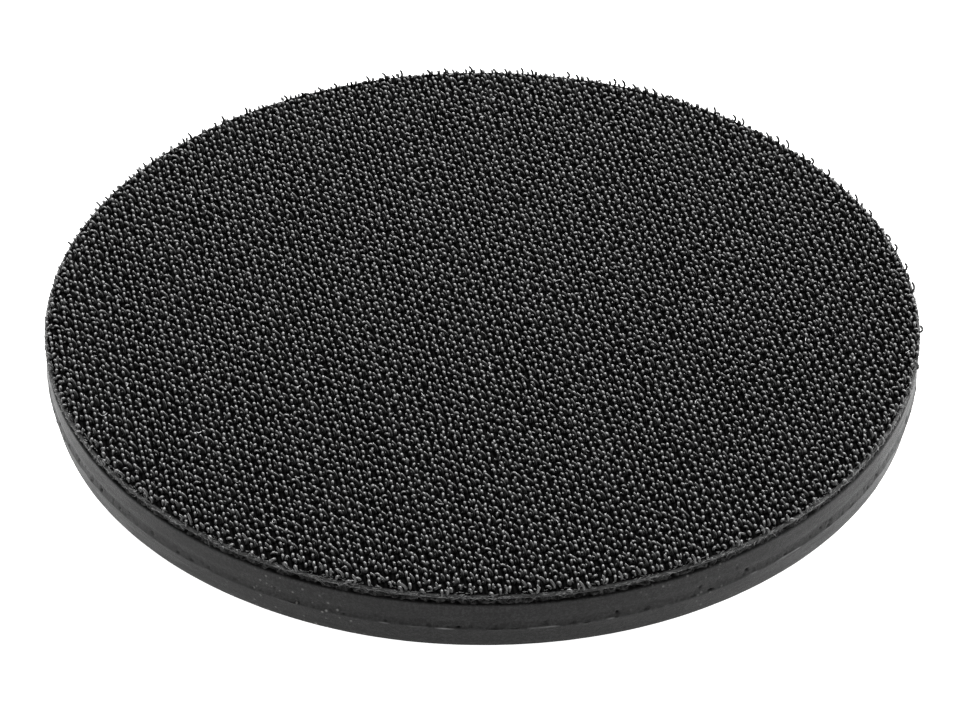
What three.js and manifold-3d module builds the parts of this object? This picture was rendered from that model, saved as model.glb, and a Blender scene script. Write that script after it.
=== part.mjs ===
// A 150 mm backing pad for an orbital sander, with a hook face and a threaded mounting stud.
//
// Millimetres, +Z up. The origin is the centre of the hook face, at the height of the hook tips.
// +Z points out of the hook face along the axis of rotation, and the first hub rivet lies on +X.
//
// From the hook face down: hook fabric, bonding film, moulded polyurethane body, glass-fibre plate
// set into the back of the body, clamp disc and hub plate on the two sides of that plate, six rivets
// through all three, and a stud whose head is held behind the clamp disc.

import * as THREE from 'three';
import { mergeVertices } from 'three/addons/utils/BufferGeometryUtils.js';
import Module from 'manifold-3d';

const wasm = await Module();
wasm.setup();

// ---- Driving dimensions ----

const PAD_RADIUS = 75; // the fabric's cut edge, for a 150 mm abrasive disc

const PILE_HEIGHT = 1.5; // hooks above the woven ground of the fabric
const PILE_INSET = 0.4; // bare ground left at the fabric's cut edge
const FABRIC_THICKNESS = 0.7;
const BOND_THICKNESS = 0.3;
const BOND_INSET = 0.5; // the film stops short of the fabric's edge

const BODY_THICKNESS = 9.5;
const BODY_TOP_INSET = 0.2; // the body's upper rim inside the fabric's edge
const BODY_TOP_ROUND = 0.3;
const PARTING_HEIGHT = 4.4; // the mould's parting line, above the back
const FLASH_REACH = 0.25; // the ridge of flash beyond the fabric's edge
const FLASH_HALF_HEIGHT = 0.2;
const GROOVE_HEIGHT = 0.9; // the shallow hollow that runs above the flash
const GROOVE_DEPTH = 0.35;
const BACK_TAPER = 1.1; // how far the rim draws in from the parting line to the back
const BACK_ROUND = 0.6;

const PLATE_RADIUS = 68;
const PLATE_THICKNESS = 2.5;

const CLAMP_THICKNESS = 1.5;
const CLAMP_MARGIN = 3.1; // clamp disc beyond the rivets' tails

const HUB_THICKNESS = 2;
const HUB_MARGIN = 2.6; // hub plate beyond the rivets' heads
const HUB_EDGE = 0.4; // chamfer round the hub plate and its boss
const BOSS_HEIGHT = 1.2; // the raised seat for the sander's spindle
const BOSS_DRAFT = 0.8;
const BOSS_CLEARANCE = 1.4; // between the boss's foot and the rivets' heads

const RIVET_COUNT = 6;
const RIVET_CIRCLE_RADIUS = 16.8;
const RIVET_SHANK_RADIUS = 2;
const RIVET_HEAD_RADIUS = 3.6;
const RIVET_HEAD_HEIGHT = 1.5;
const RIVET_TAIL_RADIUS = 3.1;
const RIVET_TAIL_HEIGHT = 1;
const RIVET_BORE_RADIUS = 1.2; // the hollow end that is rolled over
const RIVET_BORE_DEPTH = 2.4;

const THREAD_MAJOR_RADIUS = 7.938 / 2; // 5/16 inch
const THREAD_PITCH = 25.4 / 24; // 24 threads to the inch
const THREAD_LENGTH = 13; // stud beyond the spindle seat
const STUD_SHANK_RADIUS = 4.8;
const STUD_HEAD_RADIUS = 7.5;
const STUD_HEAD_HEIGHT = 2;
const STUD_HEAD_CHAMFER = 0.5;
const STUD_END_CHAMFER = 0.9;

const LAYER_GAP = 0.1; // between faces that lie on each other
const HOLE_CLEARANCE = 0.3; // round a shank in its hole, and round a plate in its pocket
const HEAD_CLEARANCE = 0.4; // above the tails and the stud's head in the body's pocket

const PAD_SEGMENTS = 96;
const HUB_SEGMENTS = 48;
const SMALL_SEGMENTS = 16;
const THREAD_SEGMENTS = 18;
const DOME_STEPS = 4;

// ---- Levels, all along Z ----

const FABRIC_TOP = -PILE_HEIGHT;
const FABRIC_BACK = FABRIC_TOP - FABRIC_THICKNESS;
const BOND_TOP = FABRIC_BACK - LAYER_GAP;
const BOND_BACK = BOND_TOP - BOND_THICKNESS;
const BODY_TOP = BOND_BACK - LAYER_GAP;
const BODY_BACK = BODY_TOP - BODY_THICKNESS;

const PLATE_BACK = BODY_BACK;
const PLATE_TOP = PLATE_BACK + PLATE_THICKNESS;
const CLAMP_BACK = PLATE_TOP + LAYER_GAP;
const CLAMP_TOP = CLAMP_BACK + CLAMP_THICKNESS;
const TAIL_BACK = CLAMP_TOP + LAYER_GAP;
const TAIL_TOP = TAIL_BACK + RIVET_TAIL_HEIGHT;
const STUD_HEAD_TOP = TAIL_BACK + STUD_HEAD_HEIGHT;
const POCKET_TOP = Math.max(STUD_HEAD_TOP, TAIL_TOP) + HEAD_CLEARANCE;

const HUB_TOP = PLATE_BACK - LAYER_GAP;
const HUB_BACK = HUB_TOP - HUB_THICKNESS;
const SEAT = HUB_BACK - BOSS_HEIGHT;
const RIVET_HEAD_TOP = HUB_BACK - LAYER_GAP;
const STUD_END = SEAT - THREAD_LENGTH;

// ---- Radii that follow the rivets ----

const CLAMP_RADIUS = RIVET_CIRCLE_RADIUS + RIVET_TAIL_RADIUS + CLAMP_MARGIN;
const HUB_RADIUS = RIVET_CIRCLE_RADIUS + RIVET_HEAD_RADIUS + HUB_MARGIN;
const BOSS_RADIUS = RIVET_CIRCLE_RADIUS - RIVET_HEAD_RADIUS - BOSS_CLEARANCE - BOSS_DRAFT;
const RIVET_HOLE_RADIUS = RIVET_SHANK_RADIUS + HOLE_CLEARANCE;
const STUD_HOLE_RADIUS = STUD_SHANK_RADIUS + HOLE_CLEARANCE;

// ---- Ways of making a shape ----

// Turns a closed outline of [radius, z] points round the Z axis. The outline runs anticlockwise.
function turned(outline, segments) {
  const points = outline.map(([radius, z]) => new THREE.Vector2(radius, z));
  const geometry = new THREE.LatheGeometry(points, segments);
  geometry.rotateX(Math.PI / 2);
  return geometry;
}

// Points on a round corner about [radius, z], from one angle to another in quarter turns.
function roundCorner(radius, z, size, fromQuarter, toQuarter, steps) {
  const points = [];
  for (let i = 0; i <= steps; i += 1) {
    const angle = (Math.PI / 2) * (fromQuarter + ((toQuarter - fromQuarter) * i) / steps);
    points.push([radius + size * Math.cos(angle), z + size * Math.sin(angle)]);
  }
  return points;
}

function rivetCentres() {
  const centres = [];
  for (let i = 0; i < RIVET_COUNT; i += 1) {
    const angle = (2 * Math.PI * i) / RIVET_COUNT;
    centres.push([RIVET_CIRCLE_RADIUS * Math.cos(angle), RIVET_CIRCLE_RADIUS * Math.sin(angle)]);
  }
  return centres;
}

// Points round a circle, anticlockwise.
function circlePoints(x, y, radius, count) {
  const points = [];
  for (let i = 0; i < count; i += 1) {
    const angle = (2 * Math.PI * i) / count;
    points.push(new THREE.Vector2(x + radius * Math.cos(angle), y + radius * Math.sin(angle)));
  }
  return points;
}

// A flat disc between two levels, drilled for the stud and the rivets.
function drilledDisc(radius, back, top, segments) {
  const shape = new THREE.Shape(circlePoints(0, 0, radius, segments));
  const drill = (x, y, holeRadius) => {
    const hole = circlePoints(x, y, holeRadius, SMALL_SEGMENTS).reverse();
    shape.holes.push(new THREE.Path(hole));
  };
  drill(0, 0, STUD_HOLE_RADIUS);
  rivetCentres().forEach(([x, y]) => drill(x, y, RIVET_HOLE_RADIUS));
  const geometry = new THREE.ExtrudeGeometry(shape, { depth: top - back, bevelEnabled: false });
  geometry.translate(0, 0, back);
  return geometry;
}

function toSolid(geometry) {
  const bare = geometry.clone();
  bare.deleteAttribute('normal');
  bare.deleteAttribute('uv');
  const merged = mergeVertices(bare);
  return new wasm.Manifold(
    new wasm.Mesh({
      numProp: 3,
      vertProperties: new Float32Array(merged.attributes.position.array),
      triVerts: new Uint32Array(merged.index.array),
    }),
  );
}

function toGeometry(solid) {
  const mesh = solid.getMesh();
  const geometry = new THREE.BufferGeometry();
  geometry.setAttribute('position', new THREE.BufferAttribute(new Float32Array(mesh.vertProperties), 3));
  geometry.setIndex(new THREE.BufferAttribute(new Uint32Array(mesh.triVerts), 1));
  geometry.computeVertexNormals();
  return geometry;
}

// ---- The soft layers ----

// The fabric's woven ground, with the space that its hooks fill as a low step on it.
function hookFabric() {
  const pileRadius = PAD_RADIUS - PILE_INSET;
  const outline = [
    [0, FABRIC_BACK],
    [PAD_RADIUS, FABRIC_BACK],
    [PAD_RADIUS, FABRIC_TOP],
    [pileRadius, FABRIC_TOP],
    [pileRadius, 0],
    [0, 0],
  ];
  return turned(outline, PAD_SEGMENTS);
}

function bondLayer() {
  const radius = PAD_RADIUS - BOND_INSET;
  const outline = [
    [0, BOND_BACK],
    [radius, BOND_BACK],
    [radius, BOND_TOP],
    [0, BOND_TOP],
  ];
  return turned(outline, PAD_SEGMENTS);
}

// The moulded body. Its back has a wide pocket for the plate and a deeper one for the clamp disc,
// and its rim is widest at the ridge of flash on the parting line.
function foamBody() {
  const plateWall = PLATE_RADIUS + HOLE_CLEARANCE;
  const plateFloor = PLATE_TOP + LAYER_GAP;
  const clampWall = CLAMP_RADIUS + HOLE_CLEARANCE;
  const parting = BODY_BACK + PARTING_HEIGHT;
  const backRadius = PAD_RADIUS - BACK_TAPER;
  const topRadius = PAD_RADIUS - BODY_TOP_INSET;
  const outline = [
    [0, POCKET_TOP],
    [clampWall, POCKET_TOP],
    [clampWall, plateFloor],
    [plateWall, plateFloor],
    [plateWall, BODY_BACK],
    ...roundCorner(backRadius - BACK_ROUND, BODY_BACK + BACK_ROUND, BACK_ROUND, -1, 0, 3),
    [PAD_RADIUS, parting - FLASH_HALF_HEIGHT],
    [PAD_RADIUS + FLASH_REACH, parting],
    [PAD_RADIUS, parting + FLASH_HALF_HEIGHT],
    [topRadius - GROOVE_DEPTH, parting + GROOVE_HEIGHT],
    [topRadius - GROOVE_DEPTH / 2, parting + 2 * GROOVE_HEIGHT],
    ...roundCorner(topRadius - BODY_TOP_ROUND, BODY_TOP - BODY_TOP_ROUND, BODY_TOP_ROUND, 0, 1, 2),
    [0, BODY_TOP],
  ];
  return turned(outline, PAD_SEGMENTS);
}

// ---- The plate and the hub ----

function fibrePlate() {
  return drilledDisc(PLATE_RADIUS, PLATE_BACK, PLATE_TOP, PAD_SEGMENTS);
}

function clampDisc() {
  return drilledDisc(CLAMP_RADIUS, CLAMP_BACK, CLAMP_TOP, HUB_SEGMENTS);
}

// A pressed steel disc with a raised boss, whose flat end is the seat for the sander's spindle.
function hubPlate() {
  const outline = [
    [STUD_HOLE_RADIUS, SEAT],
    [BOSS_RADIUS - HUB_EDGE, SEAT],
    [BOSS_RADIUS, SEAT + HUB_EDGE],
    [BOSS_RADIUS + BOSS_DRAFT, HUB_BACK],
    [HUB_RADIUS - HUB_EDGE, HUB_BACK],
    [HUB_RADIUS, HUB_BACK + HUB_EDGE],
    [HUB_RADIUS, HUB_TOP],
    [STUD_HOLE_RADIUS, HUB_TOP],
    [STUD_HOLE_RADIUS, SEAT],
  ];
  const drillLength = HUB_THICKNESS + BOSS_HEIGHT + 2;
  let hub = toSolid(turned(outline, HUB_SEGMENTS));
  rivetCentres().forEach(([x, y]) => {
    const drill = new THREE.CylinderGeometry(
      RIVET_HOLE_RADIUS,
      RIVET_HOLE_RADIUS,
      drillLength,
      SMALL_SEGMENTS,
    );
    drill.rotateX(Math.PI / 2);
    drill.translate(x, y, (HUB_TOP + SEAT) / 2);
    hub = hub.subtract(toSolid(drill));
  });
  return toGeometry(hub);
}

// A semi-tubular rivet, with its domed head on the hub plate and its hollow end rolled over the
// clamp disc. It is made on the Z axis and placed by its mesh.
function hubRivet() {
  const dome = [];
  for (let i = 0; i < DOME_STEPS; i += 1) {
    const angle = (Math.PI / 2) * (i / DOME_STEPS);
    dome.push([RIVET_HEAD_RADIUS * Math.sin(angle), RIVET_HEAD_TOP - RIVET_HEAD_HEIGHT * Math.cos(angle)]);
  }
  const rollTop = (RIVET_BORE_RADIUS + RIVET_TAIL_RADIUS) / 2;
  const outline = [
    ...dome,
    [RIVET_HEAD_RADIUS, RIVET_HEAD_TOP],
    [RIVET_SHANK_RADIUS, RIVET_HEAD_TOP],
    [RIVET_SHANK_RADIUS, TAIL_BACK],
    [RIVET_TAIL_RADIUS, TAIL_BACK],
    [RIVET_TAIL_RADIUS, TAIL_BACK + RIVET_TAIL_HEIGHT / 2],
    [rollTop, TAIL_TOP],
    [RIVET_BORE_RADIUS, TAIL_TOP - RIVET_TAIL_HEIGHT / 3],
    [RIVET_BORE_RADIUS, TAIL_TOP - RIVET_BORE_DEPTH],
    [0, TAIL_TOP - RIVET_BORE_DEPTH],
  ];
  return turned(outline, SMALL_SEGMENTS);
}

// ---- The stud ----

// A right-hand 60 degree thread from one level to another, as a closed body with ragged ends.
// Each row of points climbs one pitch in a turn, so the end of a row meets the start of the row
// four further on, which is the same edge of the thread one turn higher.
function threadBlank(from, to) {
  const crestFlat = THREAD_PITCH / 8;
  const rootFlat = THREAD_PITCH / 4;
  const flank = (THREAD_PITCH - crestFlat - rootFlat) / 2;
  const rootRadius = THREAD_MAJOR_RADIUS - flank / Math.tan(Math.PI / 6);
  const edges = [
    [0, rootRadius],
    [rootFlat, rootRadius],
    [rootFlat + flank, THREAD_MAJOR_RADIUS],
    [rootFlat + flank + crestFlat, THREAD_MAJOR_RADIUS],
  ];
  const turns = Math.ceil((to - from) / THREAD_PITCH);
  const lastRow = turns * edges.length;
  const positions = [];
  const numbers = new Map();
  const addPoint = (row, step) => {
    const [rise, radius] = edges[row % edges.length];
    const angle = (2 * Math.PI * step) / THREAD_SEGMENTS;
    const climb = THREAD_PITCH * (Math.floor(row / edges.length) + step / THREAD_SEGMENTS);
    numbers.set(`${row} ${step}`, positions.length / 3);
    positions.push(radius * Math.cos(angle), radius * Math.sin(angle), from + rise + climb);
  };
  for (let row = 0; row <= lastRow + edges.length; row += 1) {
    addPoint(row, 0);
  }
  for (let row = 0; row <= lastRow; row += 1) {
    for (let step = 1; step < THREAD_SEGMENTS; step += 1) {
      addPoint(row, step);
    }
  }
  const point = (row, step) => {
    const wraps = step === THREAD_SEGMENTS;
    return numbers.get(wraps ? `${row + edges.length} 0` : `${row} ${step}`);
  };
  const triangles = [];
  for (let row = 0; row < lastRow; row += 1) {
    for (let step = 0; step < THREAD_SEGMENTS; step += 1) {
      const low = point(row, step);
      const lowNext = point(row, step + 1);
      const highNext = point(row + 1, step + 1);
      const high = point(row + 1, step);
      triangles.push(low, lowNext, highNext, low, highNext, high);
    }
  }
  const rim = (row) => {
    const points = [];
    for (let step = 0; step < THREAD_SEGMENTS; step += 1) {
      points.push(point(row, step));
    }
    for (let back = edges.length; back > 0; back -= 1) {
      points.push(point(row + back, 0));
    }
    return points;
  };
  const close = (points, z, facesUp) => {
    const centre = positions.length / 3;
    positions.push(0, 0, z);
    points.forEach((here, i) => {
      const next = points[(i + 1) % points.length];
      triangles.push(centre, ...(facesUp ? [here, next] : [next, here]));
    });
  };
  close(rim(0), from - THREAD_PITCH, false);
  close(rim(lastRow), to + 3 * THREAD_PITCH, true);
  const geometry = new THREE.BufferGeometry();
  geometry.setAttribute('position', new THREE.BufferAttribute(new Float32Array(positions), 3));
  geometry.setIndex(triangles);
  return geometry;
}

// The stud's head and plain shank, and the thread that runs from the shank to a chamfered end.
function threadedStud() {
  const shankEnd = SEAT + LAYER_GAP;
  const coreRadius = THREAD_MAJOR_RADIUS - STUD_END_CHAMFER;
  const blank = toSolid(threadBlank(STUD_END - 2 * THREAD_PITCH, shankEnd + 2 * THREAD_PITCH));
  const envelope = toSolid(
    turned(
      [
        [0, STUD_END],
        [coreRadius, STUD_END],
        [THREAD_MAJOR_RADIUS + LAYER_GAP, STUD_END + STUD_END_CHAMFER + LAYER_GAP],
        [THREAD_MAJOR_RADIUS + LAYER_GAP, CLAMP_BACK],
        [0, CLAMP_BACK],
      ],
      2 * THREAD_SEGMENTS,
    ),
  );
  const plain = toSolid(
    turned(
      [
        [0, shankEnd],
        [STUD_SHANK_RADIUS, shankEnd],
        [STUD_SHANK_RADIUS, TAIL_BACK],
        [STUD_HEAD_RADIUS, TAIL_BACK],
        [STUD_HEAD_RADIUS, STUD_HEAD_TOP - STUD_HEAD_CHAMFER],
        [STUD_HEAD_RADIUS - STUD_HEAD_CHAMFER, STUD_HEAD_TOP],
        [0, STUD_HEAD_TOP],
      ],
      2 * THREAD_SEGMENTS,
    ),
  );
  return toGeometry(blank.intersect(envelope).add(plain));
}

// ---- Materials ----

function finish(color, roughness, metalness) {
  return new THREE.MeshStandardMaterial({ color, roughness, metalness });
}

const hookNylon = () => finish(0x151515, 0.6, 0);
const bondFilm = () => finish(0x0a0a0a, 0.8, 0);
const mouldedPolyurethane = () => finish(0x2b2b2b, 0.55, 0);
const glassFibre = () => finish(0x23261f, 0.5, 0);
const zincedSteel = () => finish(0xa8aab0, 0.35, 1);
const rivetSteel = () => finish(0x9a9ca2, 0.4, 1);

// ---- Assembly ----

const pad = new THREE.Group();

function addPiece(name, geometry, material) {
  const mesh = new THREE.Mesh(geometry, material);
  mesh.name = name;
  pad.add(mesh);
  return mesh;
}

addPiece('hook_fabric', hookFabric(), hookNylon());
addPiece('bond_layer', bondLayer(), bondFilm());
addPiece('foam_body', foamBody(), mouldedPolyurethane());
addPiece('fibre_plate', fibrePlate(), glassFibre());
addPiece('clamp_disc', clampDisc(), zincedSteel());
addPiece('hub_plate', hubPlate(), zincedSteel());
addPiece('threaded_stud', threadedStud(), zincedSteel());
rivetCentres().forEach(([x, y], i) => {
  addPiece(`hub_rivet_${i + 1}`, hubRivet(), rivetSteel()).position.set(x, y, 0);
});

export default pad;
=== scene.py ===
"""A 150 mm backing pad for an orbital sander, put together from its stud outwards to its hook face.

Metres, +Z up. The hook face looks up, the tips of its hooks lie round z = 0, and the stud points down.
"""
import math

import bpy
import numpy as np
from mathutils import Matrix, Vector, noise


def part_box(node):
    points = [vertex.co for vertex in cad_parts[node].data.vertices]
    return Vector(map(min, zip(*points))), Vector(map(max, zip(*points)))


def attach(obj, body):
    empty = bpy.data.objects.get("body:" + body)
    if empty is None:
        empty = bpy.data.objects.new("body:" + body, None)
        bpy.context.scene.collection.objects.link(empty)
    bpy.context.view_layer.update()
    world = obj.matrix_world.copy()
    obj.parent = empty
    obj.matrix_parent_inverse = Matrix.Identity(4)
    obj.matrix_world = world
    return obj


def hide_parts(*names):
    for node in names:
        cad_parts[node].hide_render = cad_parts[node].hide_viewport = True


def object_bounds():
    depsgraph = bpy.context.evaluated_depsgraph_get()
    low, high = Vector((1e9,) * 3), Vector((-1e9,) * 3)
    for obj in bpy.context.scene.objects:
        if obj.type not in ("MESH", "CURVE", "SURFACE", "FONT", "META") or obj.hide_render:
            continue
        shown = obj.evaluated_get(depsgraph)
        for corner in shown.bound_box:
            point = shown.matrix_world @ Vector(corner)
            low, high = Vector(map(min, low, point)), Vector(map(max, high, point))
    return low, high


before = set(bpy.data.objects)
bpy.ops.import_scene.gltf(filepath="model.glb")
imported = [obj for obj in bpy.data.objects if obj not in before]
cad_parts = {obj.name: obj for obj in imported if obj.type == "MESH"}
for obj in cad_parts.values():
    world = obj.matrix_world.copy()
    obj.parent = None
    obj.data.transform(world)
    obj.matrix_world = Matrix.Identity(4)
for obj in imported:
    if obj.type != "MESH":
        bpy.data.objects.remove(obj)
cad_box = [list(corner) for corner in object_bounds()]


# ---------------------------------------------------------------------------------------------
# The stud. Turned from steel bar with a flat head and a plain shank, then thread-rolled with a
# right-hand 5/16 inch thread of 24 turns to the inch and zinc plated. Its head is trapped behind
# the clamp disc, so it turns with the hub.
# ---------------------------------------------------------------------------------------------

MM = 0.001
THREAD_RADIUS = 7.938 / 2 * MM
THREAD_PITCH = 25.4 / 24 * MM
THREAD_SIDES = 56
END_CHAMFER = 0.9 * MM
SHANK_RADIUS = 4.8 * MM
HEAD_RADIUS = 7.5 * MM
HEAD_HEIGHT = 2.0 * MM
HEAD_CHAMFER = 0.5 * MM


def add_piece(name, corners, faces, finish, smooth_below=40):
    """A new mesh piece. Edges that turn by more than smooth_below degrees stay crisp."""
    mesh = bpy.data.meshes.new(name)
    mesh.from_pydata(corners, [], faces)
    mesh.materials.append(finish)
    mesh.shade_smooth()
    mesh.set_sharp_from_angle(angle=math.radians(smooth_below))
    piece = bpy.data.objects.new(name, mesh)
    bpy.context.scene.collection.objects.link(piece)
    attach(piece, "root")
    return piece


def turn_grid(radius, height, closed=False):
    """Turns rows of radius and height, one column for each step round Z, into corners and faces.

    The rows run anticlockwise round the section. An open section starts and ends on the axis.
    """
    rows, steps = radius.shape
    angle = np.linspace(0, 2 * math.pi, steps, endpoint=False)
    corners = np.stack([radius * np.cos(angle), radius * np.sin(angle), height], axis=-1).reshape(-1, 3)
    faces = []
    for row in range(rows if closed else rows - 1):
        low, high = row * steps, (row + 1) % rows * steps
        for step in range(steps):
            after = (step + 1) % steps
            faces.append((low + step, low + after, high + after, high + step))
    corners = corners.tolist()
    if not closed:
        bottom, top = len(corners), len(corners) + 1
        corners += [(0, 0, float(height[0].mean())), (0, 0, float(height[-1].mean()))]
        last = (rows - 1) * steps
        for step in range(steps):
            after = (step + 1) % steps
            faces.append((bottom, after, step))
            faces.append((top, last + step, last + after))
    return corners, faces


def turned(outline, steps, closed=False):
    """An outline of (radius, height) points turned round Z in so many steps."""
    outline = np.array(outline)
    radius = np.repeat(outline[:, :1], steps, axis=1)
    height = np.repeat(outline[:, 1:], steps, axis=1)
    return turn_grid(radius, height, closed)


def thread_rows(end, root):
    """Rows of radius and height that climb one pitch in a turn, from the stud's end to its shank."""
    crest, valley = THREAD_PITCH / 8, THREAD_PITCH / 4
    flank = (THREAD_PITCH - crest - valley) / 2
    depth = flank / math.tan(math.radians(30))
    profile = [(0, 1), (valley, 1), (valley + 0.2 * flank, 0.86), (valley + 0.8 * flank, 0.16)]
    profile += [(valley + flank, 0), (valley + flank + crest, 0)]
    profile += [(valley + 1.2 * flank + crest, 0.16), (valley + 1.8 * flank + crest, 0.86)]
    turns = math.ceil((root - end) / THREAD_PITCH) + 2
    climb = THREAD_PITCH * np.arange(THREAD_SIDES) / THREAD_SIDES
    radius, height = [], []
    for turn in range(turns):
        for rise, deep in profile:
            level = end - THREAD_PITCH + turn * THREAD_PITCH + rise + climb
            reach = np.full(THREAD_SIDES, THREAD_RADIUS - deep * depth)
            chamfer = THREAD_RADIUS - END_CHAMFER + np.maximum(level - end, 0)
            runs_out = np.clip((root - level) / THREAD_PITCH, 0, 1)
            reach = np.minimum(reach, chamfer)
            reach = THREAD_RADIUS - depth + (reach - THREAD_RADIUS + depth) * np.sqrt(runs_out)
            reach = np.minimum(np.where(level < end, THREAD_RADIUS - END_CHAMFER, reach), chamfer)
            radius.append(reach)
            height.append(np.clip(level, end, root))
    return np.array(radius), np.array(height)


def shader(name):
    """A new material, with its node tree and its main shader."""
    material = bpy.data.materials.new(name)
    material.use_nodes = True
    return material, material.node_tree, material.node_tree.nodes["Principled BSDF"]


def object_coordinates(tree, scale=(1, 1, 1)):
    """The piece's own coordinates, in metres, stretched by scale."""
    place = tree.nodes.new("ShaderNodeTexCoord")
    mapping = tree.nodes.new("ShaderNodeMapping")
    mapping.inputs["Scale"].default_value = scale
    tree.links.new(place.outputs["Object"], mapping.inputs["Vector"])
    return mapping.outputs["Vector"]


def noise_texture(tree, vector, scale, detail=4.0, roughness=0.6):
    """Noise with so many bumps to the metre, as a socket from 0 to 1."""
    texture = tree.nodes.new("ShaderNodeTexNoise")
    texture.inputs["Scale"].default_value = scale
    texture.inputs["Detail"].default_value = detail
    texture.inputs["Roughness"].default_value = roughness
    tree.links.new(vector, texture.inputs["Vector"])
    return texture.outputs["Fac"]


def spread(tree, value, low, high, to_low, to_high):
    """A value's range from low to high, spread from to_low to to_high and held there."""
    node = tree.nodes.new("ShaderNodeMapRange")
    for socket, number in zip(("From Min", "From Max", "To Min", "To Max"), (low, high, to_low, to_high)):
        node.inputs[socket].default_value = number
    tree.links.new(value, node.inputs["Value"])
    return node.outputs["Result"]


def blend_colours(tree, share, first, second):
    """A colour between first and second, which are colours or sockets."""
    node = tree.nodes.new("ShaderNodeMix")
    node.data_type = "RGBA"
    tree.links.new(share, node.inputs["Factor"])
    for socket, colour in ((node.inputs[6], first), (node.inputs[7], second)):
        if isinstance(colour, tuple):
            socket.default_value = (*colour, 1)
        else:
            tree.links.new(colour, socket)
    return node.outputs[2]


def bump(tree, shading, height, depth):
    """Raises the surface by up to depth metres where height is 1."""
    node = tree.nodes.new("ShaderNodeBump")
    node.inputs["Strength"].default_value = 1
    node.inputs["Distance"].default_value = depth
    tree.links.new(height, node.inputs["Height"])
    tree.links.new(node.outputs["Normal"], shading.inputs["Normal"])


def zinc_finish(name, colour, dark, brushing):
    """Zinc-plated steel: a greyish bloom over the metal, and fine marks left by the tool."""
    material, tree, shading = shader(name)
    grain = noise_texture(tree, object_coordinates(tree, brushing), 900, 5)
    bloom = noise_texture(tree, object_coordinates(tree), 160, 6)
    shade = spread(tree, bloom, 0.3, 0.75, 0, 1)
    tree.links.new(blend_colours(tree, shade, colour, dark), shading.inputs["Base Color"])
    tree.links.new(spread(tree, grain, 0.3, 0.7, 0.26, 0.46), shading.inputs["Roughness"])
    shading.inputs["Metallic"].default_value = 1
    bump(tree, shading, grain, 0.012 * MM)
    return material


stud_low, stud_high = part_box("threaded_stud")
hub_low, hub_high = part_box("hub_plate")
stud_zinc = zinc_finish("stud_zinc", (0.62, 0.62, 0.64), (0.42, 0.43, 0.45), (1, 1, 6))
head_top = stud_high[2]
head_back = head_top - HEAD_HEIGHT
shank_end = hub_low[2] + 0.1 * MM
thread_radius, thread_height = thread_rows(stud_low[2], shank_end)
plain = [(SHANK_RADIUS - 0.2 * MM, shank_end), (SHANK_RADIUS, shank_end + 0.2 * MM)]
plain += [(SHANK_RADIUS, head_back), (HEAD_RADIUS - 0.1 * MM, head_back)]
plain += [(HEAD_RADIUS, head_back + 0.1 * MM), (HEAD_RADIUS, head_top - HEAD_CHAMFER)]
plain += [(HEAD_RADIUS - HEAD_CHAMFER, head_top)]
plain = np.array(plain)
stud_radius = np.vstack([thread_radius, np.repeat(plain[:, :1], THREAD_SIDES, axis=1)])
stud_height = np.vstack([thread_height, np.repeat(plain[:, 1:], THREAD_SIDES, axis=1)])
stud = add_piece("rolled_stud", *turn_grid(stud_radius, stud_height), stud_zinc, 60)
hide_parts("threaded_stud")


# ---------------------------------------------------------------------------------------------
# The clamp disc. A blanked steel disc on the blind side of the plate, which spreads the rivets'
# pull over the laminate. It keeps its designed shape and gets the finish of plated sheet.
# ---------------------------------------------------------------------------------------------

clamp_zinc = zinc_finish("clamp_zinc", (0.56, 0.56, 0.58), (0.36, 0.37, 0.4), (1, 1, 1))
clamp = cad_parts["clamp_disc"]
clamp.data.materials.clear()
clamp.data.materials.append(clamp_zinc)


# ---------------------------------------------------------------------------------------------
# The hub plate. Pressed from 2 mm steel sheet in one stroke, with a raised boss whose ring face
# seats on the sander's spindle. The press leaves soft edges, and the zinc has a cloudy bloom.
# ---------------------------------------------------------------------------------------------

HUB_STEPS = 144
HUB_THICKNESS = 2.0 * MM
BOSS_RADIUS = 11.0 * MM
BOSS_DRAFT = 0.8 * MM
BORE_RADIUS = 5.1 * MM
PRESS_ROUND = 0.45 * MM


def round_off(outline, size, cuts=4):
    """The same closed outline with each corner rounded to about size."""
    points = np.array(outline)
    rounded = []
    for i, corner in enumerate(points):
        before, after = points[i - 1] - corner, points[(i + 1) % len(points)] - corner
        reach = min(size, 0.45 * np.linalg.norm(before), 0.45 * np.linalg.norm(after))
        start = corner + before / np.linalg.norm(before) * reach
        end = corner + after / np.linalg.norm(after) * reach
        for cut in range(cuts + 1):
            t = cut / cuts
            rounded.append((1 - t) ** 2 * start + 2 * t * (1 - t) * corner + t**2 * end)
    return rounded


hub_zinc = zinc_finish("hub_zinc", (0.66, 0.66, 0.68), (0.45, 0.46, 0.49), (1, 1, 1))
hub_radius = hub_high[0]
hub_back = hub_high[2] - HUB_THICKNESS
hub_outline = [(BORE_RADIUS, hub_low[2]), (BOSS_RADIUS, hub_low[2]), (BOSS_RADIUS + BOSS_DRAFT, hub_back)]
hub_outline += [(hub_radius, hub_back), (hub_radius, hub_high[2]), (BORE_RADIUS, hub_high[2])]
hub = add_piece("pressed_hub", *turned(round_off(hub_outline, PRESS_ROUND), HUB_STEPS, True), hub_zinc)
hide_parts("hub_plate")


# ---------------------------------------------------------------------------------------------
# The rivets. Six semi-tubular steel rivets, pushed through from the back and rolled over on the
# clamp disc. Each snap head is a little flattened where the setting tool struck it.
# ---------------------------------------------------------------------------------------------

RIVET_SHANK = 2.0 * MM
RIVET_HEAD = 3.6 * MM
RIVET_HEAD_HEIGHT = 1.5 * MM
RIVET_TAIL = 3.1 * MM
RIVET_TAIL_HEIGHT = 1.0 * MM
RIVET_BORE = 1.2 * MM
RIVET_BORE_DEPTH = 2.4 * MM
STRUCK_FLAT = 1.3 * MM


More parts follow.
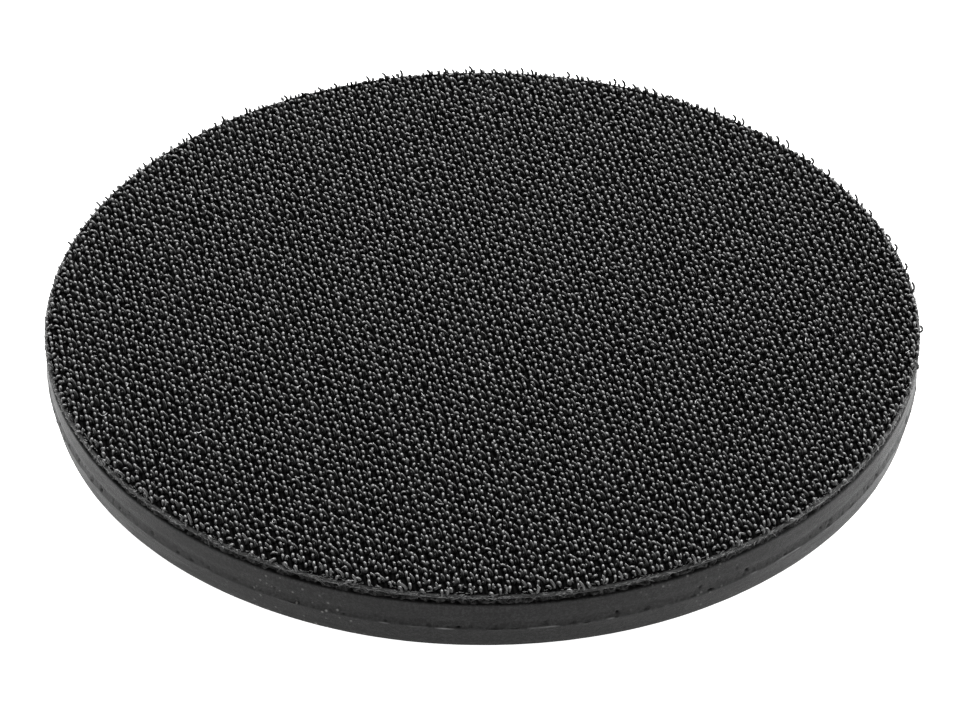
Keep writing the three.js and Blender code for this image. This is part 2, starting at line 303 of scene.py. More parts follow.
def rivet_outline(low, high):
    """The section of one set rivet, from the struck flat on its head to the bottom of its bore."""
    under_head = low + RIVET_HEAD_HEIGHT
    outline = [(0.6 * STRUCK_FLAT, low + 0.02 * MM), (STRUCK_FLAT, low + 0.05 * MM)]
    for degrees in range(30, 91, 10):
        angle = math.radians(degrees)
        outline.append((RIVET_HEAD * math.sin(angle), under_head - RIVET_HEAD_HEIGHT * math.cos(angle)))
    tail_back = high - RIVET_TAIL_HEIGHT
    outline += [(RIVET_SHANK, under_head + 0.05 * MM), (RIVET_SHANK, tail_back)]
    middle = (RIVET_BORE + RIVET_TAIL) / 2
    for degrees in range(-60, 181, 30):
        angle = math.radians(degrees)
        wide = (RIVET_TAIL - RIVET_BORE) / 2 * math.cos(angle)
        outline.append((middle + wide, high + RIVET_TAIL_HEIGHT / 2 * (math.sin(angle) - 1)))
    outline += [(RIVET_BORE, high - RIVET_BORE_DEPTH), (0.3 * RIVET_BORE, high - RIVET_BORE_DEPTH)]
    return outline


rivet_zinc = zinc_finish("rivet_zinc", (0.6, 0.6, 0.62), (0.4, 0.41, 0.44), (1, 1, 1))
for number in range(1, 7):
    node = f"hub_rivet_{number}"
    low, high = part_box(node)
    corners, faces = turned(rivet_outline(low[2], high[2]), 40)
    across = (low[0] + high[0]) / 2
    along = (low[1] + high[1]) / 2
    corners = [(x + across, y + along, z) for x, y, z in corners]
    rivet = add_piece(f"set_rivet_{number}", corners, faces, rivet_zinc)
    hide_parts(node)


# ---------------------------------------------------------------------------------------------
# The stiffening plate. Woven glass cloth pressed flat in dark epoxy resin, cut round, and laid in
# the mould before the body is poured. The cloth shows faintly through the resin.
# ---------------------------------------------------------------------------------------------

CLOTH_PITCH = 1.6 * MM


def laminate_finish():
    """Dark resin with the crossed glass yarns showing through, and a few rubbed places."""
    material, tree, shading = shader("glass_laminate")
    plain_place = object_coordinates(tree)
    yarns = []
    for direction in ("X", "Y"):
        wave = tree.nodes.new("ShaderNodeTexWave")
        wave.bands_direction = direction
        wave.inputs["Scale"].default_value = 1 / CLOTH_PITCH / 3.2
        wave.inputs["Distortion"].default_value = 0.6
        wave.inputs["Detail Scale"].default_value = 300
        tree.links.new(plain_place, wave.inputs["Vector"])
        yarns.append(wave.outputs["Fac"])
    checker = tree.nodes.new("ShaderNodeTexChecker")
    checker.inputs["Scale"].default_value = 1 / CLOTH_PITCH
    checker.inputs["Color1"].default_value = (0, 0, 0, 1)
    checker.inputs["Color2"].default_value = (1, 1, 1, 1)
    tree.links.new(plain_place, checker.inputs["Vector"])
    weave = tree.nodes.new("ShaderNodeMix")
    tree.links.new(checker.outputs["Fac"], weave.inputs["Factor"])
    tree.links.new(yarns[0], weave.inputs[2])
    tree.links.new(yarns[1], weave.inputs[3])
    rubbed = spread(tree, noise_texture(tree, plain_place, 60, 8), 0.5, 0.75, 0, 0.6)
    cloth = blend_colours(tree, weave.outputs[0], (0.012, 0.014, 0.01), (0.034, 0.038, 0.028))
    tree.links.new(blend_colours(tree, rubbed, cloth, (0.06, 0.062, 0.055)), shading.inputs["Base Color"])
    tree.links.new(spread(tree, rubbed, 0, 0.6, 0.38, 0.62), shading.inputs["Roughness"])
    bump(tree, shading, weave.outputs[0], 0.03 * MM)
    return material


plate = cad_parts["fibre_plate"]
plate.data.materials.clear()
plate.data.materials.append(laminate_finish())


# ---------------------------------------------------------------------------------------------
# The body. Black polyurethane foamed in a two-part mould round the plate, with a closed skin. The
# mould halves leave a parting line round the rim, with torn flash on it and gas pits just above.
# ---------------------------------------------------------------------------------------------

RIM_STEPS = 2048
PARTING_HEIGHT = 4.2 * MM
BACK_TAPER = 0.95 * MM
BACK_ROUND = 0.25 * MM
TOP_INSET = 0.05 * MM
SETTLED = 0.15 * MM
FLASH_REACH = 0.16 * MM
GROOVE_DEPTH = 0.17 * MM
PLATE_LIP = 0.3 * MM
HEAD_GAP = 0.4 * MM
PLATE_GAP = 0.1 * MM
CLAMP_GAP = 0.3 * MM
SLOW_WAVES = 0.05 * MM
FAST_WAVES = 0.02 * MM
PARTING_DRIFT = 0.12 * MM
RIM_PITS = 700
rng = np.random.default_rng(41)


def rim_noise(seed, cells, octaves=3):
    """Smooth noise round the rim that closes on itself, from about -1 to 1, as one row of steps."""
    angle = np.linspace(0, 2 * math.pi, RIM_STEPS, endpoint=False)
    circle = cells / (2 * math.pi)
    values = []
    for a in angle:
        place = Vector((circle * math.cos(a), circle * math.sin(a), 7.3 * seed))
        values.append(noise.fractal(place, 1.0, 2.0, octaves))
    return np.array(values)


def press_pits(radius, height, centres, sizes, depths):
    """Pushes round dents into the rim, each at an angle and a height."""
    angle = np.linspace(0, 2 * math.pi, RIM_STEPS, endpoint=False)
    mean = float(radius.mean(axis=1).max())
    for (at, level), size, depth in zip(centres, sizes, depths):
        around = (angle - at + math.pi) % (2 * math.pi) - math.pi
        near = np.abs(around) * mean < 3 * size
        away = (around[near] * mean / 1.5) ** 2 + (height[:, near] - level) ** 2
        radius[:, near] -= depth * np.exp(-away / size**2)
    return radius


body_low, body_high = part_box("foam_body")
plate_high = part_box("fibre_plate")[1]
clamp_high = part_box("clamp_disc")[1]
fabric_low, fabric_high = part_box("hook_fabric")
pad_radius = fabric_high[0]
back, top = body_low[2], body_high[2] - SETTLED
parting = back + PARTING_HEIGHT
pocket_top = head_top + HEAD_GAP
pocket_floor = plate_high[2] + PLATE_GAP
clamp_wall = clamp_high[0] + CLAMP_GAP
plate_wall = plate_high[0] + PLATE_LIP

inside = [(0.2 * clamp_wall, pocket_top), (clamp_wall, pocket_top), (clamp_wall, pocket_floor)]
inside += [(plate_wall, pocket_floor), (plate_wall, back + 0.1 * MM), (plate_wall + 0.15 * MM, back)]
back_edge = pad_radius - BACK_TAPER
rim = [(back_edge - 1.6 * MM, back), (back_edge - BACK_ROUND, back)]
for degrees in range(-75, 1, 15):
    angle = math.radians(degrees)
    rim.append((back_edge + BACK_ROUND * (math.cos(angle) - 1), back + BACK_ROUND * (1 + math.sin(angle))))
lower_side = np.linspace(back + BACK_ROUND, parting - 0.25 * MM, 11)[1:]
for level in lower_side:
    share = (level - back) / PARTING_HEIGHT
    rim.append((back_edge + BACK_TAPER * share, level))
flash_row = len(inside) + len(rim)
rim += [(pad_radius - 0.03 * MM, parting - 0.12 * MM), (pad_radius - 0.02 * MM, parting)]
rim += [(pad_radius - 0.04 * MM, parting + 0.12 * MM)]
upper_side = np.linspace(parting + 0.3 * MM, top - 0.3 * MM, 15)
for level in upper_side:
    above = (level - parting) / MM
    hollow = GROOVE_DEPTH * math.exp(-(((above - 1.3) / 0.8) ** 2))
    rim.append((pad_radius - TOP_INSET - hollow, level))
rim += [(pad_radius - TOP_INSET - 0.08 * MM, top - 0.1 * MM), (pad_radius - TOP_INSET - 0.3 * MM, top)]
rim += [(pad_radius - 3 * MM, top), (0.2 * pad_radius, top)]
section = np.array(inside + rim)
body_radius = np.repeat(section[:, :1], RIM_STEPS, axis=1)
body_height = np.repeat(section[:, 1:], RIM_STEPS, axis=1)

outer = slice(len(inside) + 1, len(section) - 3)
waviness = SLOW_WAVES * rim_noise(1, 24) + FAST_WAVES * rim_noise(2, 160)
body_radius[outer] += waviness
torn = np.clip(-0.35 + 1.3 * rim_noise(3, 190, 3) + 0.8 * rim_noise(4, 40), 0, 1.2)
body_radius[flash_row + 1] += FLASH_REACH * torn
body_radius[flash_row] += 0.4 * FLASH_REACH * torn
body_radius[flash_row + 2] += 0.25 * FLASH_REACH * torn
drift = PARTING_DRIFT * rim_noise(5, 14)
for row in range(flash_row - 2, flash_row + 6):
    body_height[row] += drift

pit_angles = rng.uniform(0, 2 * math.pi, RIM_PITS)
pit_levels = parting + rng.gamma(2.0, 0.42, RIM_PITS) * MM
pit_sizes = rng.uniform(0.1, 0.24, RIM_PITS) * MM
pit_depths = rng.gamma(1.5, 0.09, RIM_PITS) * MM
rim_rows = slice(flash_row + 3, len(section) - 4)
body_radius[rim_rows] = press_pits(
    body_radius[rim_rows], body_height[rim_rows], zip(pit_angles, pit_levels), pit_sizes, pit_depths
)


def polyurethane_finish():
    """Dull black skin: a fine mottle, drawn-out flow marks, painted highlight glints along the torn flash,
    and dust.
    """
    material, tree, shading = shader("moulded_polyurethane")
    place = tree.nodes.new("ShaderNodeTexCoord")
    parts = tree.nodes.new("ShaderNodeSeparateXYZ")
    tree.links.new(place.outputs["Object"], parts.inputs["Vector"])
    flow = noise_texture(tree, object_coordinates(tree, (1, 1, 9)), 120, 6, 0.65)
    cloud = noise_texture(tree, object_coordinates(tree, (1, 1, 2.5)), 45, 5)
    shade = spread(tree, cloud, 0.3, 0.7, 0, 1)
    mottle = noise_texture(tree, object_coordinates(tree), 2000, 4, 0.8)
    skin = blend_colours(tree, shade, (0.002, 0.002, 0.002), (0.004, 0.004, 0.004))
    mottled = spread(tree, mottle, 0.45, 0.6, 0, 1)
    skin = blend_colours(tree, mottled, skin, (0.0125, 0.0125, 0.0125))
    marks = spread(tree, flow, 0.52, 0.72, 0, 0.5)
    skin = blend_colours(tree, marks, skin, (0.012, 0.012, 0.012))

    # Painted highlight: pale spots along the parting line stand in for light glinting on the flash.
    off_line = tree.nodes.new("ShaderNodeMath")
    off_line.operation = "SUBTRACT"
    off_line.inputs[1].default_value = parting
    tree.links.new(parts.outputs["Z"], off_line.inputs[0])
    distance = tree.nodes.new("ShaderNodeMath")
    distance.operation = "ABSOLUTE"
    tree.links.new(off_line.outputs[0], distance.inputs[0])
    line = spread(tree, distance.outputs[0], 0.08 * MM, 0.2 * MM, 1, 0)
    glint_spots = spread(tree, noise_texture(tree, object_coordinates(tree), 110, 3), 0.56, 0.66, 0, 1)
    pale = tree.nodes.new("ShaderNodeMath")
    pale.operation = "MULTIPLY"
    tree.links.new(line, pale.inputs[0])
    tree.links.new(glint_spots, pale.inputs[1])
    skin = blend_colours(tree, pale.outputs[0], skin, (0.09, 0.09, 0.09))

    specks = tree.nodes.new("ShaderNodeTexVoronoi")
    specks.inputs["Scale"].default_value = 700
    specks.inputs["Randomness"].default_value = 1
    tree.links.new(place.outputs["Object"], specks.inputs["Vector"])
    dusty = spread(tree, noise_texture(tree, object_coordinates(tree), 38, 2), 0.52, 0.66, 0, 1)
    speck = spread(tree, specks.outputs["Distance"], 0.08, 0.2, 0.3, 0)
    dust = tree.nodes.new("ShaderNodeMath")
    dust.operation = "MULTIPLY"
    tree.links.new(dusty, dust.inputs[0])
    tree.links.new(speck, dust.inputs[1])
    skin = blend_colours(tree, dust.outputs[0], skin, (0.3, 0.3, 0.29))
    tree.links.new(skin, shading.inputs["Base Color"])
    tree.links.new(spread(tree, flow, 0.3, 0.7, 0.44, 0.62), shading.inputs["Roughness"])
    shading.inputs["Specular IOR Level"].default_value = 0.12
    bump(tree, shading, mottle, 0.1 * MM)
    return material


rim_skin = polyurethane_finish()
body = add_piece("moulded_body", *turn_grid(body_radius, body_height), rim_skin, 55)
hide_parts("foam_body")


# ---------------------------------------------------------------------------------------------
# The bonding film. Hot-melt adhesive pressed between the fabric and the body. It stops short of
# the edge and is full of small voids, so it shows as a dark, broken line under the fabric.
# ---------------------------------------------------------------------------------------------

FILM_VOIDS = 2600
FILM_OVERHANG = 0.2 * MM
FILM_LAP = 0.1 * MM
FILM_RISE = 0.62 * MM
FILM_SWELL = 0.12 * MM
FILM_UNEVEN = 0.12 * MM


def film_finish():
    """Near-black adhesive with a dull, crusty surface."""
    material, tree, shading = shader("bond_film")
    crust = noise_texture(tree, object_coordinates(tree), 2200, 5, 0.75)
    paleness = spread(tree, crust, 0.35, 0.7, 0, 1)
    colour = blend_colours(tree, paleness, (0.0005, 0.0005, 0.0005), (0.014, 0.014, 0.014))
    tree.links.new(colour, shading.inputs["Base Color"])
    shading.inputs["Roughness"].default_value = 0.75
    shine = spread(tree, crust, 0.42, 0.6, 0.02, 0.3)
    tree.links.new(shine, shading.inputs["Specular IOR Level"])
    bump(tree, shading, crust, 0.12 * MM)
    return material


film_back = top - FILM_LAP
film_top = fabric_low[2] + FILM_RISE
film_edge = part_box("bond_layer")[1][0] + FILM_OVERHANG
film_section = [(0.2 * film_edge, film_back), (film_edge - 2 * MM, film_back)]
film_section += [(film_edge - 0.3 * MM, film_back)]
for share in np.linspace(0, 1, 7):
    swell = FILM_SWELL * math.sin(math.pi * share)
    film_section.append((film_edge + swell, film_back + share * (film_top - film_back)))
film_section += [(film_edge - 0.3 * MM, film_top)]
film_section += [(film_edge - 2 * MM, film_top), (0.2 * film_edge, film_top)]
film_section = np.array(film_section)
film_radius = np.repeat(film_section[:, :1], RIM_STEPS, axis=1)
film_height = np.repeat(film_section[:, 1:], RIM_STEPS, axis=1)
film_rim = slice(3, 10)
film_radius[film_rim] += FILM_UNEVEN * rim_noise(6, 500, 3)
film_radius[film_rim] = press_pits(
    film_radius[film_rim],
    film_height[film_rim],
    zip(rng.uniform(0, 2 * math.pi, FILM_VOIDS), rng.uniform(film_back, film_top, FILM_VOIDS)),
    rng.uniform(0.14, 0.3, FILM_VOIDS) * MM,
    rng.uniform(0.15, 0.5, FILM_VOIDS) * MM,
)
film = add_piece("adhesive_film", *turn_grid(film_radius, film_height), film_finish(), 180)
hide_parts("bond_layer")


# ---------------------------------------------------------------------------------------------
# The ground of the hook fabric. A tight black nylon weave, heat set and die cut to a 150 mm round.
# Its cut edge is slightly ragged and paler than the rest, where the broken yarns scatter light.
# ---------------------------------------------------------------------------------------------

PILE_HEIGHT = 0.9 * MM
GROUND_LIFT = 0.6 * MM
EDGE_DROP = 0.42 * MM
SHOULDER_WIDTH = 0.9 * MM
WARP = np.array([-0.592, 3.061]) * MM
WEFT = np.array([1.787, -0.980]) * MM
ground_top = fabric_high[2] - PILE_HEIGHT
ground_back = fabric_low[2] + GROUND_LIFT
shoulder = ground_top - EDGE_DROP


def edge_drop(reach):
    """How far the pressed-down edge of the fabric lies below its face, at a reach from the centre."""
    share = np.clip((reach - pad_radius + SHOULDER_WIDTH) / SHOULDER_WIDTH, 0, 1)
    return EDGE_DROP * share**2


def ground_finish():
    """Black yarns in ribs along the weave, with a pale fuzzy band at the cut edge."""
    material, tree, shading = shader("woven_ground")
    place = tree.nodes.new("ShaderNodeTexCoord")
    turn = tree.nodes.new("ShaderNodeMapping")
    turn.inputs["Rotation"].default_value = (0, 0, -math.atan2(WARP[1], WARP[0]))
    tree.links.new(place.outputs["Object"], turn.inputs["Vector"])
    ribs = tree.nodes.new("ShaderNodeTexWave")
    ribs.bands_direction = "Y"
    ribs.inputs["Scale"].default_value = 420
    ribs.inputs["Distortion"].default_value = 1.5
    ribs.inputs["Detail Scale"].default_value = 600
    tree.links.new(turn.outputs["Vector"], ribs.inputs["Vector"])
    fuzz = noise_texture(tree, place.outputs["Object"], 1800, 5, 0.75)
    yarn = blend_colours(tree, ribs.outputs["Fac"], (0.0005, 0.0005, 0.0005), (0.002, 0.002, 0.002))

    flat = tree.nodes.new("ShaderNodeMapping")
    flat.inputs["Scale"].default_value = (1, 1, 0)
    tree.links.new(place.outputs["Object"], flat.inputs["Vector"])
    reach = tree.nodes.new("ShaderNodeVectorMath")
    reach.operation = "LENGTH"
    tree.links.new(flat.outputs["Vector"], reach.inputs[0])
    edge = spread(tree, reach.outputs["Value"], pad_radius - 0.45 * MM, pad_radius - 0.15 * MM, 0, 1)
    broken = spread(tree, fuzz, 0.4, 0.62, 0.05, 1)
    pale = tree.nodes.new("ShaderNodeMath")
    pale.operation = "MULTIPLY"
    tree.links.new(edge, pale.inputs[0])
    tree.links.new(broken, pale.inputs[1])
    colour = blend_colours(tree, pale.outputs[0], yarn, (0.02, 0.02, 0.02))
    tree.links.new(colour, shading.inputs["Base Color"])
    shading.inputs["Roughness"].default_value = 0.7
    tree.links.new(spread(tree, edge, 0, 1, 0.0, 0.3), shading.inputs["Specular IOR Level"])
    bump(tree, shading, fuzz, 0.12 * MM)
    return material


ground_section = [(0.2 * pad_radius, ground_back), (pad_radius - 2 * MM, ground_back)]
ground_section += [(pad_radius - 0.3 * MM, ground_back), (pad_radius - 0.05 * MM, ground_back + 0.06 * MM)]
for share in np.linspace(0.15, 0.9, 5):
    ground_section.append((pad_radius, ground_back + share * (shoulder - ground_back)))
for inward in (0.1, 0.35, 0.6, SHOULDER_WIDTH / MM):
    reach_in = pad_radius - inward * MM
    ground_section.append((reach_in, ground_top - edge_drop(reach_in)))
ground_section += [(pad_radius - 2 * MM, ground_top), (0.2 * pad_radius, ground_top)]
ground_section = np.array(ground_section)
ground_radius = np.repeat(ground_section[:, :1], RIM_STEPS, axis=1)
ground_height = np.repeat(ground_section[:, 1:], RIM_STEPS, axis=1)
for row in range(2, len(ground_section) - 2):
    ragged = 0.07 * MM * rim_noise(10 + row, 700, 2) + 0.08 * MM * rim_noise(9, 90)
    ground_radius[row] += ragged
ground_height[-6:-2] += 0.05 * MM * rim_noise(8, 420)
ground = add_piece("woven_ground", *turn_grid(ground_radius, ground_height), ground_finish(), 180)
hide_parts("hook_fabric")


# ---------------------------------------------------------------------------------------------
# The hooks. Nylon monofilament woven into the ground as loops, heat set, and cut on one side. Each
# loop leaves a hook that curls over at the top, and beside it a taller cut leg or a short stub.
# Rows of hooks face opposite ways, so that the disc holds whichever way it is pushed.
# ---------------------------------------------------------------------------------------------

FILAMENT_RADIUS = 0.2 * MM
FILAMENT_SIDES = 6
HOOK_REACH = pad_radius - 0.1 * MM
FIELDS = 6

# Each path runs along the filament's own plane, and up from the ground, in millimetres. Thickness
# and cut, which is how far the tip's point stands off the end of the path, are in filament radii.
HOOK_PATH = [(-0.3, -0.1), (-0.36, 0.2), (-0.27, 0.46), (-0.03, 0.6)]
HOOK_PATH += [(0.22, 0.5), (0.36, 0.27), (0.36, 0.05)]
HOOK_THICKNESS = [1.0, 1.05, 1.2, 1.45, 1.4, 1.15, 0.8]
HOOK_CUT = (0, 0, -0.6)
LEG_PATH = [(0.3, -0.1), (0.48, 0.3), (0.46, 0.7), (0.28, 1.1), (0.02, 1.42)]
LEG_THICKNESS = [1.1, 1.1, 1.1, 1.15, 1.0]
LEG_CUT = (-0.2, 0.7, 1.1)
STUB_PATH = [(0.0, -0.1), (0.1, 0.12), (0.26, 0.24), (0.45, 0.26)]
STUB_THICKNESS = [0.9, 0.85, 0.8, 0.7]
STUB_CUT = (0, 0, 0.3)


def tubes(feet, facing, paths, thickness, cut):
    """One tube for each foot, along its own path of (sideways, up) points, turned to its facing."""
    count, rings, _ = paths.shape
    ahead = np.stack([np.cos(facing), np.sin(facing)], axis=1)
    across = np.stack([-np.sin(facing), np.cos(facing)], axis=1)
    middle = np.zeros((count, rings, 3))
    middle[:, :, :2] = feet[:, None, :] + paths[:, :, :1] * ahead[:, None, :]
    middle[:, :, 2] = ground_top - edge_drop(np.linalg.norm(feet, axis=1))[:, None] + paths[:, :, 1]
    along = np.gradient(paths, axis=1)
    along /= np.linalg.norm(along, axis=2, keepdims=True)
    normal = np.zeros((count, rings, 3))
    normal[:, :, :2] = along[:, :, 1:] * ahead[:, None, :]
    normal[:, :, 2] = -along[:, :, 0]
    side = np.zeros((count, rings, 3))
    side[:, :, :2] = across[:, None, :]
    turn = 2 * math.pi * np.arange(FILAMENT_SIDES) / FILAMENT_SIDES
    ring = normal[:, :, None] * np.cos(turn)[:, None] + side[:, :, None] * np.sin(turn)[:, None]
    corners = middle[:, :, None] + ring * (thickness[None, :, None, None] * FILAMENT_RADIUS)
    tip = middle[:, -1] + cut * FILAMENT_RADIUS * thickness[-1]
    block = np.concatenate([corners.reshape(count, -1, 3), tip[:, None]], axis=1)
    faces = []
    last, point = (rings - 1) * FILAMENT_SIDES, rings * FILAMENT_SIDES
    for low in range(0, last, FILAMENT_SIDES):
        high = low + FILAMENT_SIDES
        for step in range(FILAMENT_SIDES):
            after = (step + 1) % FILAMENT_SIDES
            faces.append((low + step, low + after, high + after, high + step))
    for step in range(FILAMENT_SIDES):
        faces.append((point, last + step, last + (step + 1) % FILAMENT_SIDES))
    faces.append(tuple(range(FILAMENT_SIDES - 1, -1, -1)))
    return block, faces


def hook_finish():
    """Black nylon monofilament with a soft shine, duller where it was drawn and set."""
    material, tree, shading = shader("hook_nylon")
    drawn = noise_texture(tree, object_coordinates(tree), 900, 2)
    paleness = spread(tree, drawn, 0.35, 0.65, 0, 1)
    colour = blend_colours(tree, paleness, (0.011, 0.011, 0.011), (0.024, 0.024, 0.024))
    tree.links.new(colour, shading.inputs["Base Color"])
    tree.links.new(spread(tree, drawn, 0.3, 0.7, 0.42, 0.56), shading.inputs["Roughness"])
    shading.inputs["IOR"].default_value = 1.55
    return material


nylon = hook_finish()
span = int(2 * pad_radius / np.linalg.norm(WEFT)) + 4
warp_steps, weft_steps = np.meshgrid(np.arange(-span, span + 1), np.arange(-span, span + 1))
cells = warp_steps.reshape(-1, 1) * WARP + weft_steps.reshape(-1, 1) * WEFT
cells = cells[np.linalg.norm(cells, axis=1) < pad_radius + 3 * MM]


def standing(offset, wander):
    """Where one kind of filament leaves the ground in each cell of the weave, inside the cut edge."""
    feet = cells + np.array(offset) * MM + rng.normal(0, wander, cells.shape) * MM
    return feet[np.linalg.norm(feet, axis=1) < HOOK_REACH]


def shaped(path, count, height_spread, lean):
    """The same path for every filament, each a little taller or shorter and leaning its own way."""
    paths = np.repeat(np.array(path)[None] * MM, count, axis=0)
    tall = 1 + rng.normal(0, height_spread, (count, 1))
    paths[:, :, 1] *= tall
    paths[:, :, 0] *= 1 + rng.normal(0, 0.12, (count, 1))
    paths[:, :, 0] += rng.normal(0, lean, (count, 1)) * paths[:, :, 1]
    return paths


# Each kind of filament: its place in a cell of the weave, in millimetres, and the way it faces.
far_thickness = [0.9 * share for share in HOOK_THICKNESS]
near_hook = ((0.0, 0.0), -math.pi / 2 + 0.3, HOOK_PATH, HOOK_THICKNESS, HOOK_CUT)
far_hook = ((-0.3, 1.58), math.pi / 2 + 0.3, HOOK_PATH, far_thickness, HOOK_CUT)
cut_leg = ((0.21, 1.65), 0.0, LEG_PATH, LEG_THICKNESS, LEG_CUT)
stub = ((-0.55, -0.2), 2.6, STUB_PATH, STUB_THICKNESS, STUB_CUT)
field_corners = [[] for _ in range(FIELDS)]
field_faces = [[] for _ in range(FIELDS)]
field_sizes = [0] * FIELDS
field_edges = np.linspace(-1, 1, FIELDS + 1)[1:-1] * pad_radius * 0.92
for offset, facing, path, thickness, cut in (near_hook, far_hook, cut_leg, stub):
    feet = standing(offset, 0.07)
    turns = facing + rng.normal(0, 0.28, len(feet))
    paths = shaped(path, len(feet), 0.1, 0.14)
    near_edge = np.linalg.norm(feet, axis=1) > pad_radius - 2.5 * MM
    flattened = rng.random(len(feet)) < np.where(near_edge, 0.3, 0.04)
    paths[flattened, :, 1] *= rng.uniform(0.5, 0.75, (int(flattened.sum()), 1))
    turns[flattened] += rng.uniform(-2, 2, int(flattened.sum()))
    block, pattern = tubes(feet, turns, paths, np.array(thickness), np.array(cut))
    per_tube = block.shape[1]
    where = np.searchsorted(field_edges, feet[:, 0])
    for field in range(FIELDS):
        chosen = block[where == field]
        start = field_sizes[field]
        field_corners[field].append(chosen.reshape(-1, 3))
        for tube in range(len(chosen)):
            base = start + tube * per_tube
            field_faces[field] += [tuple(base + corner for corner in face) for face in pattern]
        field_sizes[field] += len(chosen) * per_tube

for field in range(FIELDS):
    corners = np.concatenate(field_corners[field]).tolist()
    hooks = add_piece(f"hook_rows_{field + 1}", corners, field_faces[field], nylon, 180)


# ---------------------------------------------------------------------------------------------
# The cut yarn ends. Die cutting leaves short broken nylon yarns round the fabric's edge. Most lie
# along it, and they are paler than the weave.
# ---------------------------------------------------------------------------------------------

YARN_ENDS = 2800
YARN_RADIUS = 0.045 * MM


def frayed_finish():
    """Broken nylon yarn, dull and greyish."""
    material, tree, shading = shader("frayed_yarn")
    tone = noise_texture(tree, object_coordinates(tree), 500, 2)
    paleness = spread(tree, tone, 0.35, 0.65, 0, 1)
    colour = blend_colours(tree, paleness, (0.02, 0.02, 0.02), (0.11, 0.11, 0.11))
    tree.links.new(colour, shading.inputs["Base Color"])
    shading.inputs["Roughness"].default_value = 0.6
    return material


fray_corners, fray_faces = [], []
for end in range(YARN_ENDS):
    around = rng.uniform(0, 2 * math.pi)
    outward = Vector((math.cos(around), math.sin(around), 0))
    sideways = Vector((-outward.y, outward.x, 0))
    inward = rng.uniform(0, 1) ** 1.5 * SHOULDER_WIDTH if rng.random() < 0.6 else 0.0
    place = outward * (pad_radius - inward)
    place.z = ground_top - edge_drop(pad_radius - inward)
    if inward == 0:
        place.z = rng.uniform(ground_back + 0.1 * MM, shoulder)
    length = rng.gamma(2.5, 0.16) * MM
    along_edge = rng.choice([-1, 1]) * rng.uniform(0.7, 1.8)
    aim = (0.35 * outward + sideways * along_edge + Vector((0, 0, rng.normal(0.05, 0.4)))).normalized()
    bend = Vector(rng.normal(0, 0.25, 3)) * length
    start = len(fray_corners)
    flat_side = aim.cross(Vector((0, 0, 1))).normalized()
    up_side = aim.cross(flat_side)
    for ring in range(4):
        t = ring / 3
        middle = place + aim * (length + 0.3 * MM) * t + bend * t * t
        wide = YARN_RADIUS * (1 - 0.6 * t)
        for corner in range(4):
            a = math.pi / 2 * corner
            fray_corners.append(middle + (flat_side * math.cos(a) - up_side * math.sin(a)) * wide)
    for ring in range(3):
        for corner in range(4):
            low, after = start + 4 * ring + corner, start + 4 * ring + (corner + 1) % 4
            fray_faces.append((low, after, after + 4, low + 4))
    fray_faces.append((start + 3, start + 2, start + 1, start))
    fray_faces.append((start + 12, start + 13, start + 14, start + 15))
fray = add_piece("frayed_yarn_ends", fray_corners, fray_faces, frayed_finish(), 180)


# ---------------------------------------------------------------------------------------------
# Clippings. Ends of cut filament and specks of dust that stayed on the hooks after the loops were
# sheared, paler than the nylon.
# ---------------------------------------------------------------------------------------------

CLIPPINGS = 110


def clipping_finish():
    """Grey nylon clippings."""
    material, tree, shading = shader("nylon_clippings")
    tone = noise_texture(tree, object_coordinates(tree), 120, 2)
    paleness = spread(tree, tone, 0.4, 0.6, 0, 1)
    colour = blend_colours(tree, paleness, (0.05, 0.05, 0.05), (0.2, 0.2, 0.2))
    tree.links.new(colour, shading.inputs["Base Color"])
    shading.inputs["Roughness"].default_value = 0.5
    return material


clip_corners, clip_faces = [], []
for clipping in range(CLIPPINGS):
    away = pad_radius * math.sqrt(rng.uniform(0, 0.97))
    around = rng.uniform(0, 2 * math.pi)
    height = fabric_high[2] + rng.uniform(-0.25, 0.05) * MM
    place = Vector((away * math.cos(around), away * math.sin(around), height))
    heading = rng.uniform(0, 2 * math.pi)
    length = rng.choice([0.12, 0.5, 0.9]) * rng.uniform(0.7, 1.3) * MM
    aim = Vector((math.cos(heading), math.sin(heading), rng.normal(0, 0.15))).normalized()
    bend = Vector((-aim.y, aim.x, 0)) * rng.normal(0, 0.3) * length
    flat_side = aim.cross(Vector((0, 0, 1))).normalized()
    up_side = aim.cross(flat_side)
    start = len(clip_corners)
    for ring in range(5):
        t = ring / 4
        middle = place + aim * length * t + bend * (4 * t * (1 - t))
        wide = rng.uniform(0.06, 0.1) * MM
        for corner in range(5):
            a = 2 * math.pi / 5 * corner
            clip_corners.append(middle + (flat_side * math.cos(a) - up_side * math.sin(a)) * wide)
    for ring in range(4):
        for corner in range(5):
            low, after = start + 5 * ring + corner, start + 5 * ring + (corner + 1) % 5
            clip_faces.append((low, after, after + 5, low + 5))
    clip_faces.append(tuple(start + k for k in (4, 3, 2, 1, 0)))
    clip_faces.append(tuple(start + 20 + k for k in range(5)))
clippings = add_piece("nylon_clippings", clip_corners, clip_faces, clipping_finish(), 180)


# ---------------------------------------------------------------------------------------------
# The studio. A glowing floor under the stud, soft light from behind and from both sides, and a
# long lens that looks down on the hook face.
# ---------------------------------------------------------------------------------------------

FLOOR_SIZE = 6.0
LENS = 195
CAMERA_DISTANCE = 0.8935
CAMERA_ELEVATION = math.radians(36.8)
VIEW_DEPTH = 1.5 * MM
AIM_BELOW = 7.1 * MM
AIM_LEFT = 0.36 * MM
CAMERA_ROLL = math.radians(0.2206)


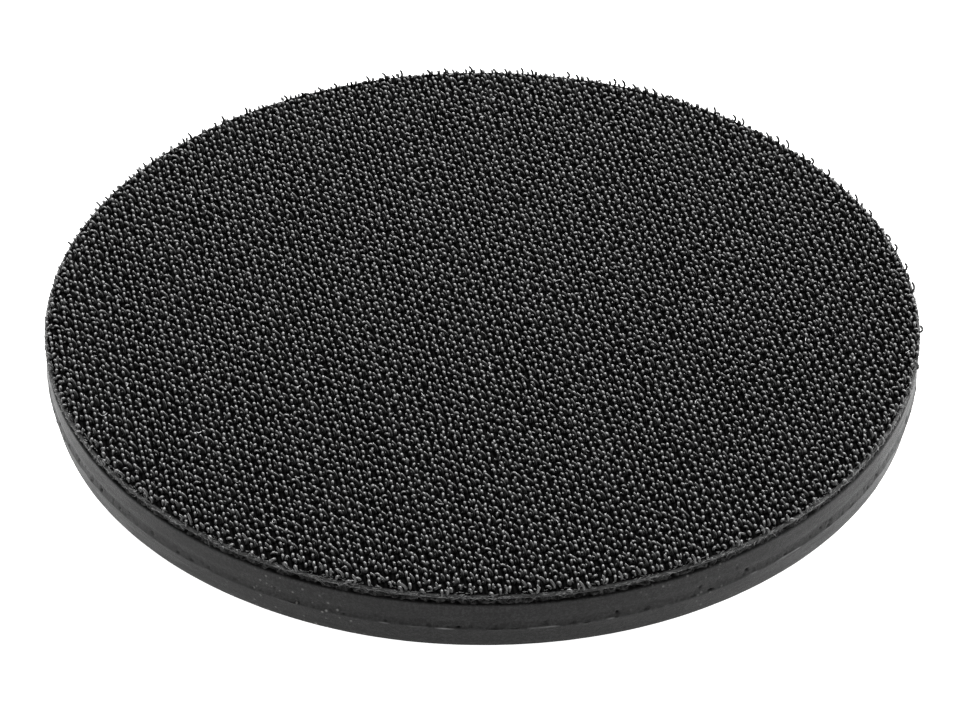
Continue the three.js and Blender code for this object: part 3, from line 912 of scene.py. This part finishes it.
def floor_finish():
    """Pale matt board that glows, so that hardly any shadow shows on it."""
    material, tree, shading = shader("pale_floor")
    speckle = noise_texture(tree, object_coordinates(tree), 30, 3)
    colour = blend_colours(tree, speckle, (0.5, 0.5, 0.5), (0.54, 0.54, 0.54))
    tree.links.new(colour, shading.inputs["Base Color"])
    shading.inputs["Roughness"].default_value = 0.9
    shading.inputs["Emission Color"].default_value = (1, 1, 1, 1)
    shading.inputs["Emission Strength"].default_value = 1.0
    return material


half = FLOOR_SIZE / 2
floor_mesh = bpy.data.meshes.new("floor")
floor_corners = [(-half, -half, 0), (half, -half, 0), (half, half, 0), (-half, half, 0)]
floor_mesh.from_pydata(floor_corners, [], [(0, 1, 2, 3)])
floor_mesh.materials.append(floor_finish())
floor = bpy.data.objects.new("floor", floor_mesh)
floor.location.z = cad_box[0][2]
bpy.context.scene.collection.objects.link(floor)

world = bpy.data.worlds.new("studio")
world.use_nodes = True
world.node_tree.nodes["Background"].inputs["Color"].default_value = (1, 1, 1, 1)
world.node_tree.nodes["Background"].inputs["Strength"].default_value = 0.12
bpy.context.scene.world = world


def soft_light(name, place, aim, width, height, watts):
    """A soft box that looks from place to aim."""
    lamp = bpy.data.lights.new(name, "AREA")
    lamp.shape = "RECTANGLE"
    lamp.size = width
    lamp.size_y = height
    lamp.energy = watts
    box = bpy.data.objects.new(name, lamp)
    box.location = place
    box.rotation_euler = (Vector(aim) - Vector(place)).to_track_quat("-Z", "Y").to_euler()
    bpy.context.scene.collection.objects.link(box)
    return box


soft_light("back_box", (0.15, 0.85, 1.1), (0, 0, 0), 2.2, 1.5, 172)
soft_light("left_box", (-0.9, -0.15, 0.45), (0, 0, 0), 0.9, 0.6, 5)
soft_light("right_box", (0.9, -0.05, 0.45), (0, 0, 0), 0.9, 0.6, 6.5)

view_centre = Vector((0, 0, fabric_high[2] - VIEW_DEPTH))
back_away = Vector((0, -math.cos(CAMERA_ELEVATION), math.sin(CAMERA_ELEVATION)))
camera_up = Vector((0, math.sin(CAMERA_ELEVATION), math.cos(CAMERA_ELEVATION)))
lens = bpy.data.cameras.new("camera")
lens.lens = LENS
lens.sensor_width = 36
lens.clip_start, lens.clip_end = 0.05, 50
camera = bpy.data.objects.new("camera", lens)
camera.location = view_centre + back_away * CAMERA_DISTANCE
aim_point = view_centre - camera_up * AIM_BELOW - Vector((AIM_LEFT, 0, 0))
looking = (aim_point - camera.location).to_track_quat("-Z", "Y")
camera.rotation_mode = "QUATERNION"
camera.rotation_quaternion = looking @ Matrix.Rotation(CAMERA_ROLL, 3, "Z").to_quaternion()
bpy.context.scene.collection.objects.link(camera)
bpy.context.scene.camera = camera
bpy.context.scene.view_settings.view_transform = "Standard"
